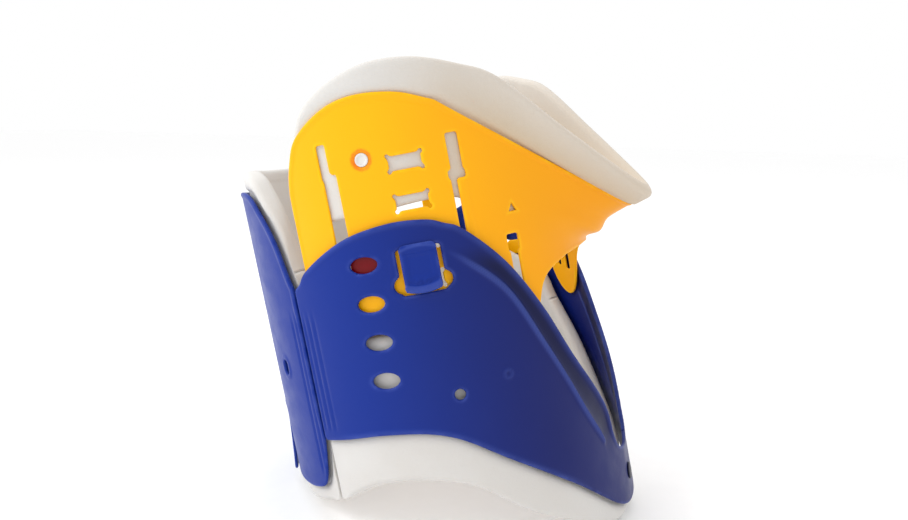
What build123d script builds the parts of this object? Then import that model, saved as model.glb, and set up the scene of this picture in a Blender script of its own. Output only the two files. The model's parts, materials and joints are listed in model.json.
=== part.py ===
from build123d import *
import os
from math import atan2, cos, hypot, radians, sin

# Adjustable extrication cervical collar, in millimetres. It is drawn about its own neck axis, with the wearer
# facing -Y and the right side at -X, and set down at the end on its lower edge, leaning back.
# Angles run round the neck axis from the front: -90 is the wearer's right, 90 the left, 180 the back.

# Driving dimensions
SHELL_R = 83.6  # outside of the blue shells
SHELL_T = 1.6
CHIN_R = 81.2  # outside of the sliding chin piece
CHIN_T = 1.3
FOAM_R = 79.8  # outside of both liners
FOAM_T = 7.4
CHIN_FOAM_T = 4.0
PITCH = 16.5  # one size step of the chin piece
STEPS = 3
LEAN = 13.0  # how far the collar leans back as it stands
HINGE_A = -114.0  # living hinge between the shells, right rear
CLOSE_A = 128.0  # where the front shell ends, left rear
REAR_END_A = -226.0  # where the rear shell ends, the same place come at from behind
HINGE_GAP = 0.35  # degrees on each side of the hinge line
LATCH_A = 70.2
LATCH_W = 15.4
LATCH_TOP = 15.4
LATCH_LOW = -4.8
LATCH_ROUND = 2.5
LATCH_SWEEP = 12.0  # degrees, more than the tab spans
LATCH_BACK = 0.2  # the tab's back stands this far out from the shell's inner face
LATCH_PROUD = 0.5
LATCH_LIP = 2.2  # how far the finger lip stands out
LATCH_LIP_TALL = 2.6
LATCH_SLOT = 1.7  # gap on each side of the tab
LATCH_SLOT_END = 0.5
LATCH_SLOT_DROP = 0.1
LATCH_NOTCH = (1.2, 3.8)  # the finger notches' centres, out and up from the tab's lower corners
LATCH_NOTCH_R = 3.4
WINDOW = (5.6, 3.4)  # half width and half height
WINDOW_A = 86.5
WINDOW_TOP = 10.0
CHIN_SWEEP = 108.5  # the chin piece reaches this far round each side
PROW_A = 47.5  # where the flare of the chin piece leaves the round
PROW_FROM = 48.0
PROW_ROUND = 7.0  # softness of the prow's nose, in degrees
PROW_Y = 109.0  # how far the prow's rim stands in front of the axis
PROW_Z = 9.5
RIM_SLOPE = 0.94
PROW_BEND = 0.65  # under 1, the flare starts upright and leans out towards the rim
PROW_ROOT = -2.0
PROW_DROP = 45.0
FLOOR_TRIM = 2.0  # depth of the flats worn by standing
CHIN_FOAM_TIP = 115.5  # how far the foam lip stands in front of the axis
REAR_TAB_LOW = -91.0
TAB_SLIT = (3.6, 70.0)
TAB_SLIT_A = 149.0
TAB_SLIT_TOP = -56.0
REAR_SLOT = (7.0, 4.6)
REAR_SLOT_A = -129.5
REAR_SLOT_Z = -33.0
REAR_OPENING = (30.0, 36.0)
REAR_OPENING_ROUND = 8.0
REAR_OPENING_Z = -12.0
PEEP_R = 2.3  # a small round hole low on each side
PEEP_A = 66.0
PEEP_Z = -50.0
RIVET_SHANK_R = 2.0
RIVET_HEAD_R = 4.0
RIVET_HEAD_T = 1.0
RIVET_Z = -117.0
CHIN_RIVET_R = 2.9
CHIN_RIVET_A = 81.4
CHIN_RIVET_Z = 52.7
LADDER_A = 69.0
LADDER_TOP = 48.8
LADDER_HOLE = (13.6, 6.0)
NICK = 4.2  # side of a small three-cornered hole in each cheek of the chin piece
NICK_A = 38.9
NICK_Z = 21.5
DOT_R = 6.4
DOT_T = 0.2
DOT_SWEEP = 8.0  # degrees, more than the dot spans
POCKET_SWEEP = 111.0  # the room behind the front shell in which the chin piece slides
POCKET_LOW = -23.5
POCKET_GAP = 0.4
STRAP_R = 84.6
STRAP_T = 1.5
STRAP_W = 36.0
STRAP_ROUND = 8.0
STRAP_Z = -20.0
STRAP_TIP_A = 97.0
STRAP_FOLD_A = 139.0
STRAP_END_A = 146.0
STRAP_RIVET_A = 142.5
STRAP_RIVET_Z = (-31.0, -9.0)
STRAP_RIVET_HEAD_R = 4.2
HOOK_A = 111.0
HOOK_SWEEP = 15.0  # degrees on each side
HOOK_H = 40.0
HOOK_T = 0.6

SHELL_IN = SHELL_R - SHELL_T
CHIN_FOAM_IN = FOAM_R - CHIN_FOAM_T
FOAM_IN = FOAM_R - FOAM_T
SHELL_MID = SHELL_R - SHELL_T / 2
FOAM_LINE_R = 76.0  # where the liners' edges are laid out
HIGH = 110.0
LOW = -150.0
REACH = 150.0


def side(angle, height, radius=SHELL_MID):
    """A place on the wall as seen from the side: (distance behind the axis, height)."""
    return (-radius * cos(radians(angle)), height)


def foam_side(angle, height):
    """A place on a liner as seen from the side."""
    return side(angle, height, FOAM_LINE_R)


def across(angle, height):
    """A place on the shell as seen from the front: (distance to the left of the wearer, height)."""
    return (SHELL_MID * sin(radians(angle)), height)


def wall(r_in, r_out, start, end, low=LOW, high=HIGH):
    """A length of round wall between two angles."""
    tall = high - low
    turn = Rot(0, 0, start - 90)
    keep = (Align.NONE, Align.NONE, Align.CENTER)
    tube = Cylinder(r_out, tall, end - start, align=keep) - Cylinder(r_in, tall, end - start, align=keep)
    return Pos(0, 0, (low + high) / 2) * turn * tube


def closed(curve, *corners):
    """A face bounded by a smooth curve through some points and straight lines back through the corners."""
    line = Spline(*[Vector(*p) for p in curve])
    return make_face(line + Polyline(curve[-1], *corners, curve[0]))


def from_side(face):
    return extrude(Plane.YZ * face, amount=REACH, both=True)


def from_front(face):
    return extrude(Plane.XZ * face, amount=REACH)


def facing(angle):
    """The plane through the axis that looks out at an angle, with its x along the wall and its y up."""
    a = radians(angle)
    return Plane(origin=(0, 0, 0), x_dir=(cos(a), sin(a), 0), z_dir=(sin(a), -cos(a), 0))


def punch(sketch, angle, height):
    """A cutter through the wall at an angle and height."""
    return facing(angle) * Pos(0, height, 0) * extrude(sketch, amount=REACH)


# Outlines of the shells
SHELL_TOP = [side(140, -2), side(127, 0), side(113, 4), side(107, 11), side(92, 21.5), side(78, 25),
             side(67, 25)]
SHELL_LOW = [side(150, -66), side(114, -65.5), side(89, -63), side(71, -67), side(54, -83),
             side(35.5, -102), (-82.8, -130)]
THROAT = [across(-72, 26), across(-56, 17), across(-45, 0), across(-35, -23), across(-26, -48),
          across(-13, -77), across(-10, -93), (0, -103.5)]
TAB_CORNER = [(-0.5, -65), (-2.6, -74), (-4.6, -83), (-7.5, -87.5), (-14, -89.8), (-24, -92)]
REAR_TOP = [side(112, 1), side(115, 6), side(119.5, 26), side(126, 40), side(134, 49), side(150, 51),
            (86, 51)]

# Outlines of the liners
FOAM_TOP = [foam_side(140, -1), foam_side(127, 2), foam_side(113, 6), foam_side(106, 7), foam_side(96, 5),
            foam_side(85, 0.5), foam_side(76, -5), foam_side(69, -10), (-36, -15)]
FOAM_LOW = [(86, -101.4), foam_side(150, -100.2), foam_side(128, -98.7), foam_side(112, -94),
            foam_side(97, -86.5), foam_side(82, -85.5), foam_side(67, -91), foam_side(51, -108),
            (-84, -140)]
FOAM_THROAT = [(-76, 4), (-70, -10), (-64, -18), (-60.5, -30), (-58.5, -38), (-50, -58), (-36, -84),
               (-20, -102), (0, -110)]
REAR_FOAM_TOP = [foam_side(112, 5), foam_side(115, 10), foam_side(119.5, 33), foam_side(126, 48),
                 foam_side(134, 57), foam_side(150, 60.5), (86, 61)]

# Outlines of the chin piece and its foam
CHIN_TOP = [(26.4, 30), (25.3, 46), (22.3, 57), (16.5, 67), (1.5, 76), (-13, 79), (-30, 77), (-43.4, 71.2)]
CHIN_LOW = [(-63.6, -12), (-63.2, -20), (-61.6, -27.5), (-58.6, -33.5), (-54.8, -36), (-51, -34),
            (-48, -28.5), (-45.5, -21), (-42.5, -13.5), (-38, -9), (-30, -6), (-20, -4), (0, -3)]
CHIN_FOAM_TOP = [(22.5, 50), (20.5, 62), (16, 72), (9, 80), (-4, 87), (-20, 91), (-37, 90), (-52, 84.5),
                 (-66, 76), (-88, 50), (-CHIN_FOAM_TIP, 17)]
CHIN_FOAM_LOW = [(40, 26), (10, 28), (-15, 29), (-35, 31), (-48, 28), (-66, 8), (-84, -6)]

# The chin piece's slots as (angle, height, width, length)
CHIN_SLOTS = [(93.6, 54.5, 4.2, 15), (92.4, 25.5, 6.4, 47), (54.3, 48.5, 5.2, 17), (54.6, 40, 7.4, 3.6),
              (55.8, 17, 2.4, 46), (40.6, 7.2, 5.6, 7.4), (40.7, -8, 3.8, 28), (46.3, -17, 2.8, 5.5)]


def below(curve):
    """Everything under a side outline that runs from the back to the front, and level on past the front."""
    start, end = curve[0], curve[-1]
    return from_side(closed(curve, (-REACH, end[1]), (-REACH, LOW), (start[0], LOW)))


def throat(half):
    """The opening under the chin, cut from the front."""
    curve = half + [(-x, z) for x, z in reversed(half[:-1])]
    return from_front(closed(curve, (curve[-1][0], HIGH), (curve[0][0], HIGH)))


def latch_hole(sign):
    """The slot round a latch, with a finger notch at each lower corner."""
    gap = Rectangle(LATCH_W + 2 * LATCH_SLOT, LATCH_TOP - LATCH_LOW + 2 * LATCH_SLOT_END)
    hole = Pos(0, (LATCH_TOP + LATCH_LOW) / 2 - LATCH_SLOT_DROP) * gap
    out, up = LATCH_NOTCH
    for end in (-1, 1):
        hole += Pos(end * (LATCH_W / 2 + out), LATCH_LOW + up) * Circle(LATCH_NOTCH_R)
    return punch(hole, sign * LATCH_A, 0)


def make_front_shell():
    body = wall(SHELL_IN, SHELL_R, HINGE_A + HINGE_GAP, CLOSE_A) & below(SHELL_TOP)
    body = body - below(SHELL_LOW) - throat(THROAT)
    for sign in (-1, 1):
        body -= latch_hole(sign)
        for step in range(STEPS + 1):
            body -= punch(Ellipse(*WINDOW), sign * WINDOW_A, WINDOW_TOP - step * PITCH)
        body -= punch(Circle(PEEP_R), sign * PEEP_A, PEEP_Z)
    return body - punch(Circle(RIVET_SHANK_R), 0, RIVET_Z)


def make_rear_shell():
    body = wall(SHELL_IN, SHELL_R, REAR_END_A, HINGE_A - HINGE_GAP, REAR_TAB_LOW, HIGH)
    body = body & from_side(closed(REAR_TOP, (REAR_TOP[-1][0], LOW), (REAR_TOP[0][0], LOW)))
    body -= punch(closed(TAB_CORNER, (1, REAR_TAB_LOW - 1), (1, TAB_CORNER[0][1])), HINGE_A, 0)
    body -= punch(SlotOverall(*REAR_SLOT, rotation=90), REAR_SLOT_A, REAR_SLOT_Z)
    body -= punch(RectangleRounded(*REAR_OPENING, REAR_OPENING_ROUND), 180, REAR_OPENING_Z)
    for sign in (-1, 1):
        body -= punch(Rectangle(*TAB_SLIT), sign * TAB_SLIT_A, TAB_SLIT_TOP - TAB_SLIT[1] / 2)
    for height in STRAP_RIVET_Z:
        body -= punch(Circle(RIVET_SHANK_R), STRAP_RIVET_A, height)
    return body


def make_front_foam():
    body = wall(FOAM_IN, FOAM_R, HINGE_A + HINGE_GAP, CLOSE_A) & below(FOAM_TOP)
    body = body - below(FOAM_LOW) - throat(FOAM_THROAT)
    pocket = wall(CHIN_FOAM_IN - POCKET_GAP, FOAM_R + 1, -POCKET_SWEEP, POCKET_SWEEP, POCKET_LOW, HIGH)
    return body - pocket


def make_rear_foam():
    body = wall(FOAM_IN, FOAM_R, REAR_END_A, HINGE_A - HINGE_GAP)
    body = body & from_side(closed(REAR_FOAM_TOP, (REAR_FOAM_TOP[-1][0], LOW), (REAR_FOAM_TOP[0][0], LOW)))
    body = body - below(FOAM_LOW)
    return body - punch(RectangleRounded(*REAR_OPENING, REAR_OPENING_ROUND), 180, REAR_OPENING_Z)


def make_latch(sign):
    """The locking tab: it hangs from its top edge in the shell's slot, with a finger lip at the low end."""
    plate = RectangleRounded(LATCH_W, LATCH_TOP - LATCH_LOW, LATCH_ROUND)
    blank = punch(Pos(0, (LATCH_TOP + LATCH_LOW) / 2) * plate, sign * LATCH_A, 0)
    start, end = sign * LATCH_A - LATCH_SWEEP, sign * LATCH_A + LATCH_SWEEP
    tab = wall(SHELL_IN + LATCH_BACK, SHELL_R + LATCH_PROUD, start, end) & blank
    lip_low, lip_high = LATCH_LOW, LATCH_LOW + LATCH_LIP_TALL
    lip = wall(SHELL_R + LATCH_PROUD - 0.1, SHELL_R + LATCH_LIP, start, end, lip_low, lip_high) & blank
    return tab + lip


def chin_point(angle, rise):
    """A place on the outside of the chin piece as (distance from the axis, height).

    The piece is upright at the sides and flares into a prow in front. rise is 0 at the root of the flare,
    1 at the rim and negative on the wall."""
    prow = hypot(angle, PROW_ROUND)
    rim = CHIN_R / cos(radians(max(0.0, PROW_A - prow)))
    rim_z = PROW_Z + RIM_SLOPE * (PROW_Y - rim * cos(radians(angle)))
    if rise <= 0:
        return CHIN_R, PROW_ROOT + rise * PROW_DROP
    return CHIN_R + (rim - CHIN_R) * rise, PROW_ROOT + (rim_z - PROW_ROOT) * rise**PROW_BEND


def chin_section(angle, outer, inner, top):
    """The closed section of the chin piece's front at an angle, between two depths below its outside."""
    rows = []
    for depth in (outer, inner):
        row = []
        for rise in (-1.0, -0.5, 0.0, 0.25, 0.5, 0.75, 1.0, top):
            radius, height = chin_point(angle, rise)
            near, below = chin_point(angle, rise - 0.02)
            far, over = chin_point(angle, rise + 0.02)
            lean = atan2(far - near, over - below)
            row.append((radius - depth * cos(lean), height + depth * sin(lean)))
        rows.append(row)
    front, back = rows
    edge = Spline(*[Vector(*p) for p in front]) + Line(front[-1], back[-1])
    edge = edge + Spline(*[Vector(*p) for p in back]) + Line(back[0], front[0])
    a = radians(angle)
    radial = Plane(origin=(0, 0, 0), x_dir=(sin(a), -cos(a), 0), z_dir=(-cos(a), -sin(a), 0))
    return radial * make_face(edge)


def chin_form(outer, inner, top):
    """A skin of the chin piece's whole form between two depths: round side walls and the lofted prow."""
    count = 12
    angles = [-PROW_FROM + 2 * PROW_FROM * step / count for step in range(count + 1)]
    form = loft([chin_section(angle, outer, inner, top) for angle in angles])
    low = PROW_ROOT - PROW_DROP
    for start, end in ((-CHIN_SWEEP, -PROW_FROM), (PROW_FROM, CHIN_SWEEP)):
        form += wall(CHIN_R - inner, CHIN_R - outer, start, end, low, HIGH)
    return form


def make_chin_piece():
    body = chin_form(0, CHIN_T, 1.25)
    rim_end = (-REACH, PROW_Z + RIM_SLOPE * (PROW_Y - REACH))
    body &= from_side(closed(CHIN_TOP, rim_end, (-REACH, LOW), (CHIN_TOP[0][0], LOW)))
    body -= throat_under(CHIN_LOW)
    body -= from_side(Pos(REACH / 2, (LOW + CHIN_LOW[0][1]) / 2) * Rectangle(REACH, CHIN_LOW[0][1] - LOW))
    for sign in (-1, 1):
        body -= punch(Circle(CHIN_RIVET_R), sign * CHIN_RIVET_A, CHIN_RIVET_Z)
        body -= punch(Triangle(a=NICK, B=60, C=60), sign * NICK_A, NICK_Z)
        for step in range(STEPS + 1):
            body -= punch(Rectangle(*LADDER_HOLE), sign * LADDER_A, LADDER_TOP - step * PITCH)
        for angle, height, wide, tall in CHIN_SLOTS:
            body -= punch(Rectangle(wide, tall), sign * angle, height)
    return body


def throat_under(half):
    """The front half under the chin piece's lower edge."""
    curve = half + [(-x, z) for x, z in reversed(half[:-1])]
    start, end = curve[0], curve[-1]
    return from_front(closed(curve, (REACH, end[1]), (REACH, LOW), (-REACH, LOW), (-REACH, start[1])))


def make_chin_foam():
    body = chin_form(CHIN_R - FOAM_R, CHIN_R - CHIN_FOAM_IN, 1.8)
    body &= from_side(closed(CHIN_FOAM_TOP, (-CHIN_FOAM_TIP, LOW), (CHIN_FOAM_TOP[0][0], LOW)))
    return body - below(CHIN_FOAM_LOW)


def make_size_dot(sign):
    """The size marker, a thin disc on the chin piece that shows through one window at a time."""
    skin = wall(CHIN_R, CHIN_R + DOT_T, sign * WINDOW_A - DOT_SWEEP, sign * WINDOW_A + DOT_SWEEP)
    return skin & punch(Circle(DOT_R), sign * WINDOW_A, WINDOW_TOP)


def rivet(angle, height, head_in, head_r):
    """A flat-headed rivet through the shell: its head lies at the distance head_in from the axis."""
    plane = facing(angle) * Pos(0, height, 0)
    shank = plane * Pos(0, 0, SHELL_IN) * extrude(Circle(RIVET_SHANK_R), amount=head_in - SHELL_IN)
    return shank + plane * Pos(0, 0, head_in) * extrude(Circle(head_r), amount=RIVET_HEAD_T)


def make_chin_rivets():
    """Flush plugs that fill the chin piece's two holes and hold its foam."""
    plugs = []
    for sign in (-1, 1):
        middle = sign * CHIN_RIVET_A
        skin = wall(CHIN_R - CHIN_T + 0.02, CHIN_R, middle - DOT_SWEEP, middle + DOT_SWEEP)
        plugs.append(skin & punch(Circle(CHIN_RIVET_R - 0.05), middle, CHIN_RIVET_Z))
    return plugs


def make_hook_patch():
    low, high = STRAP_Z - HOOK_H / 2, STRAP_Z + HOOK_H / 2
    return wall(SHELL_R, SHELL_R + HOOK_T, HOOK_A - HOOK_SWEEP, HOOK_A + HOOK_SWEEP, low, high)


def make_strap():
    """The closing strap: riveted to the rear shell, with a rounded free tip over the hook patch."""
    low, high = STRAP_Z - STRAP_W / 2, STRAP_Z + STRAP_W / 2
    strap = wall(STRAP_R, STRAP_R + STRAP_T, STRAP_TIP_A, STRAP_FOLD_A, low, high)
    fold = wall(SHELL_R + 0.02, STRAP_R + STRAP_T, STRAP_FOLD_A - 1, STRAP_END_A, low, high)
    tip = punch(Pos(12, 0) * RectangleRounded(80, STRAP_W, STRAP_ROUND), STRAP_TIP_A + 19.3, STRAP_Z)
    strap = (strap + fold) & (tip + wall(70, 100, STRAP_TIP_A + 30, STRAP_END_A))
    for height in STRAP_RIVET_Z:
        strap -= punch(Circle(RIVET_SHANK_R), STRAP_RIVET_A, height)
    return strap


# Every piece about the neck axis, then set down on its lower edge
pieces = {
    "front_shell": [make_front_shell()],
    "rear_shell": [make_rear_shell()],
    "front_foam": [make_front_foam()],
    "rear_foam": [make_rear_foam()],
    "chin_piece": [make_chin_piece()],
    "chin_foam": [make_chin_foam()],
    "right_latch": [make_latch(-1)],
    "left_latch": [make_latch(1)],
    "right_size_dot": [make_size_dot(-1)],
    "left_size_dot": [make_size_dot(1)],
    "chin_rivets": make_chin_rivets(),
    "front_rivet": [rivet(0, RIVET_Z, SHELL_R, RIVET_HEAD_R)],
    "hook_patch": [make_hook_patch()],
    "loop_strap": [make_strap()],
    "strap_rivets": [rivet(STRAP_RIVET_A, z, STRAP_R + STRAP_T, STRAP_RIVET_HEAD_R) for z in STRAP_RIVET_Z],
}

standing = {name: [Rot(-LEAN, 0, 0) * solid for solid in solids] for name, solids in pieces.items()}
liners = ("front_foam", "rear_foam")
lowest = min(solid.bounding_box().min.Z for name in liners for solid in standing[name])
floor = lowest + FLOOR_TRIM
for name in liners:
    standing[name] = [solid - Pos(0, 0, floor - 50) * Box(400, 400, 100) for solid in standing[name]]

whole = Compound([solid for solids in standing.values() for made in solids for solid in made.solids()])
box = whole.bounding_box()
place = Pos(-(box.min.X + box.max.X) / 2, -(box.min.Y + box.max.Y) / 2, -floor)

os.makedirs("parts", exist_ok=True)
for name, solids in standing.items():
    made = [solid for item in solids for solid in (place * item).solids()]
    export_step(Compound(made), "parts/" + name + ".step")
print("size", box.size, "axis foot", place.position)
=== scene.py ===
import json
import math

import bpy
import numpy as np
from mathutils import Matrix, Vector


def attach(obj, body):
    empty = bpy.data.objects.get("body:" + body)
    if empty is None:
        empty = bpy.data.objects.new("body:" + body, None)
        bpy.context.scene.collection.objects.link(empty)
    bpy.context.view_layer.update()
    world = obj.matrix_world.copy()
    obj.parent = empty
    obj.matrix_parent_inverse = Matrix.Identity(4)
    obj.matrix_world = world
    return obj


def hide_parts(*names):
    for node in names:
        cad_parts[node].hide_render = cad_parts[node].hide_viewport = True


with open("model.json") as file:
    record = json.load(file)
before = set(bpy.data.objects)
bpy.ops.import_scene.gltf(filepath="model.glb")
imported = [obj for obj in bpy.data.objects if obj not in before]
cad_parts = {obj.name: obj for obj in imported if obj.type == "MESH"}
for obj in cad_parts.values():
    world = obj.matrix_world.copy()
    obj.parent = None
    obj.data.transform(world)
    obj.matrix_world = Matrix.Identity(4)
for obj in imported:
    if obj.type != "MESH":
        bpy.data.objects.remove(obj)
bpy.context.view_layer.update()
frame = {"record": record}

# The collar is drawn about its neck axis in millimetres, as in the CAD: the wearer faces -Y, angles run round
# the axis from the front, and -90 is the wearer's right. The joints of the frame say where that axis stands.
SHELL_R = 83.6
SHELL_T = 1.6
CHIN_R = 81.2
CHIN_T = 1.3
FOAM_R = 79.8
FOAM_T = 7.4
FOAM_PROUD = 1.5  # how much thicker the liners are past the shells' edges
POCKET = 4.4  # how much thinner the front liner is where the chin piece slides down
CHIN_FOAM_T = 4.0
PITCH = 16.5  # from one size step to the next
STEPS = 4
HINGE_A = -114.0
CLOSE_A = 128.0
REAR_END_A = -226.0
HINGE_GAP = 0.35  # degrees on each side of the hinge line
LINER_GAP = 0.5  # the same between the liners
HINGE_R = 83.8
HINGE_Z = -20.0
LATCH_A = 70.2
LATCH_W = 15.4
LATCH_TOP = 15.4
LATCH_LOW = -4.8
LATCH_ROUND = 2.5
LATCH_T = 1.9
LATCH_BACK = 0.25  # its back from the inside of the shell
LATCH_LIFT = 1.85  # how much farther out its thin top lies, and how much thinner that is
LATCH_THIN = 1.4
LATCH_SLOT = 1.7  # gap on each side of the tab
LATCH_BAND = 1.7  # how far the tab's thin top lies over the shell above the slot
LATCH_SLOT_LOW = 0.6  # how far the slot goes on under the tab
LATCH_SLOT_ROUND = 1.2
LATCH_NOTCH = (1.2, 3.8, 3.4)  # out and up from the tab's lower corners, and the radius
WINDOW_A = 86.5
WINDOW_TOP = 10.0
WINDOW_SIZE = (5.6, 3.4)
DOT_R = 6.4
PEEP = (66.0, -50.0, 2.3)
RING = (51.0, -46.0, 1.7)  # a small moulded ring on each side of the front
FRONT_GROOVES = (-112.2, -109.9, -107.6)  # moulded beside the hinge line
REAR_GROOVES = (-116.0, -118.3)
GROOVE_DEEP = 0.5
GROOVE_WIDE = 0.62
CHIN_RIVET = (81.4, 52.7, 2.9)
FRONT_RIVET_Z = -117.0
REAR_OPENING = (15.0, 18.0, 8.0)
REAR_OPENING_Z = -12.0
REAR_SLOT = (2.3, 3.5, 2.3)
REAR_SLOT_A = -129.5
REAR_SLOT_Z = -33.0
TAB_SLIT = (149.0, -56.0, 1.8)
TAB_SLIT_HALF = 35.0
TAB_HALF_A = 31.0  # the flap between the slits, in degrees each way from the back
TAB_FLARE = 2.6
STRAP_R = 84.6
STRAP_T = 1.5
STRAP_W = 36.0
STRAP_Z = -20.0
STRAP_TIP_A = 97.0
STRAP_END_A = 146.0
STRAP_RIVET_A = 142.5
STRAP_RIVET_Z = (-31.0, -9.0)
HOOK_A = 111.0
HOOK_HALF_A = 15
HOOK_HALF_Z = 20
SHELL_EDGE = 0.75  # how round each piece's edges are
LATCH_EDGE = 0.7
CHIN_EDGE = 0.6
FOAM_EDGE = 2.6
SHELL_MID = SHELL_R - SHELL_T / 2
MM = 0.001
FAR = 1e9

joints = {j["name"]: j for j in frame["record"]["behaviour"]["joints"]}
up = np.array(joints["chin_height"]["axis"], float)
TURN = np.array([[1, 0, 0], [0, up[2], up[1]], [0, -up[1], up[2]]])
turn = math.radians(HINGE_A)
hinge_local = np.array([HINGE_R * math.sin(turn), -HINGE_R * math.cos(turn), HINGE_Z])
FOOT = np.array(joints["rear_opening_hinge"]["pos_m"], float) - TURN @ hinge_local * MM


def to_frame(points):
    """Points about the neck axis, in mm, to the frame, in metres."""
    return np.asarray(points, float) @ TURN.T * MM + FOOT


# ---------------------------------------------------------------- outlines on the unrolled wall
def smooth(points, per=8):
    """A Catmull-Rom curve through the points."""
    p = np.array(points, float)
    p = np.vstack([2 * p[0] - p[1], p, 2 * p[-1] - p[-2]])
    out = []
    for i in range(1, len(p) - 2):
        for t in np.arange(per) / per:
            a, b, c, d = p[i - 1], p[i], p[i + 1], p[i + 2]
            square, cube = 2 * a - 5 * b + 4 * c - d, 3 * b - a - 3 * c + d
            out.append(0.5 * (2 * b + (c - a) * t + square * t**2 + cube * t**3))
    return np.array(out + [p[-2]])


def polygon_distance(x, y, points):
    """Signed distance from each place to a closed outline, positive inside."""
    p = np.array(points, float)
    q = np.roll(p, -1, axis=0)
    best = np.full(x.shape, 1e9)
    inside = np.zeros(x.shape, bool)
    for (ax, ay), (bx, by) in zip(p, q):
        ex, ey = bx - ax, by - ay
        t = np.clip(((x - ax) * ex + (y - ay) * ey) / max(ex * ex + ey * ey, 1e-9), 0, 1)
        best = np.minimum(best, (x - ax - t * ex) ** 2 + (y - ay - t * ey) ** 2)
        if ay != by:
            crosses = ((ay > y) != (by > y)) & (x < ex * (y - ay) / ey + ax)
            inside ^= crosses
    return np.where(inside, 1, -1) * np.sqrt(best)


def line_distance(x, y, points):
    """Distance from each place to an open line."""
    best = np.full(x.shape, 1e9)
    for (ax, ay), (bx, by) in zip(points[:-1], points[1:]):
        ex, ey = bx - ax, by - ay
        t = np.clip(((x - ax) * ex + (y - ay) * ey) / max(ex * ex + ey * ey, 1e-9), 0, 1)
        best = np.minimum(best, (x - ax - t * ex) ** 2 + (y - ay - t * ey) ** 2)
    return np.sqrt(best)


def rounded_box(x, y, half_x, half_y, radius):
    dx = np.abs(x) - half_x + radius
    dy = np.abs(y) - half_y + radius
    return radius - np.hypot(np.maximum(dx, 0), np.maximum(dy, 0)) - np.minimum(np.maximum(dx, dy), 0)


def oval(x, y, half_x, half_y):
    k = np.hypot(x / half_x, y / half_y)
    return (1 - k) * np.minimum(half_x, half_y)


def step_up(x, low, high):
    t = np.clip((x - low) / (high - low), 0, 1)
    return t * t * (3 - 2 * t)


def ridge(distance, width):
    """1 at no distance, falling off softly over a width."""
    return np.exp(-((distance / width) ** 2))


ARC = math.radians(1) * SHELL_MID  # mm of wall to a degree


def unrolled(points):
    return [(a * ARC, z) for a, z in points]


def mirrored(points):
    """An outline given for the left side, from the front to the back, with its mirror image before it."""
    return [(-a, z) for a, z in reversed(points)] + [p for p in points if p[0] > 0]


# The shells' and liners' outlines, as (angle, height)
SHELL_TOP = [(67, 24.3), (78, 25.2), (92, 21.5), (107, 11), (113, 4), (127, 0), (140, -2)]
SHELL_LOW = [(0, -130), (14, -125), (35.5, -102), (54, -83), (71, -67), (89, -63), (114, -65.5), (150, -66)]
THROAT = [(0, -103.5), (7, -100.5), (10.2, -93), (13, -77), (26, -48), (35, -23), (45, 0), (56, 17),
          (61.5, 21.4), (67, 24.3)]
REAR_TOP = [(112, 1), (115, 6), (119.5, 26), (126, 40), (134, 49), (150, 51), (180, 51)]
REAR_LOW = [(112, -58), (114.1, -64), (115.6, -74), (117.2, -83), (119.5, -88), (124, -90), (132, -91),
            (155, -91), (180, -91)]
FOAM_TOP = [(63, -14.5), (69, -10), (76, -5), (85, 0.5), (96, 5), (106, 7), (113, 6), (127, 2), (140, -1)]
FOAM_LOW = [(0, -134.5), (12, -134), (26, -127), (40, -117), (51, -108), (67, -91), (82, -85.5), (97, -86.5),
            (112, -94), (128, -98.7), (150, -100), (180, -101)]
REAR_FOAM_LOW = FOAM_LOW[8:]
FOAM_THROAT = [(0, -110), (7, -108.5), (15.6, -101), (28.5, -84), (41, -58), (50.3, -38), (53.5, -27),
               (57.5, -19), (63, -14.5)]
REAR_FOAM_TOP = [(112, 5), (115, 10), (119.5, 33), (126, 48), (134, 57), (150, 60.5), (180, 61)]
# The chin piece's and its foam's outlines from the side, as (distance behind the axis, height)
CHIN_TOP = [(26.4, 30), (25.3, 46), (22.3, 57), (16.5, 67), (1.5, 76), (-13, 79), (-30, 77), (-43.4, 71.2)]
CHIN_FOAM_TIP = 115.5
CHIN_FOAM_TOP = [(22.5, 50), (20.5, 62), (16, 72), (9, 80), (-4, 87), (-20, 91), (-37, 90), (-52, 84.5),
                 (-66, 76), (-88, 50), (-CHIN_FOAM_TIP, 17)]
CHIN_FOAM_LOW = [(40, 27.8), (10, 29.8), (-15, 30.6), (-35, 31.6), (-48, 28), (-66, 8), (-84, -6)]
# The chin piece's lower edge from the front, as (distance to the side, height)
CHIN_LOW = [(63.6, -12), (63.2, -20), (61.6, -27.5), (58.6, -33.5), (54.8, -36), (51, -34), (48, -28.5),
            (45.5, -21), (42.5, -13.5), (38, -9), (30, -6), (20, -4), (0, -3)]
SIDE_LOW = -12.0  # its lower edge behind the axis
LADDER_A = 69.0
LADDER_TOP = 48.8
LADDER_HOLE = (6.8, 3.0, 0.3)
LADDER_EAR = (6.9, 3.2, 0.9)  # a small round ear at each corner of a ladder window
NICK = (38.9, 20.3, 1.9, 0.55)  # a three-cornered hole: angle, foot, half width and how fast it narrows
RIB = (52.8, 0.35, 0.9)  # a moulded rib down each cheek: angle, height and width
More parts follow.
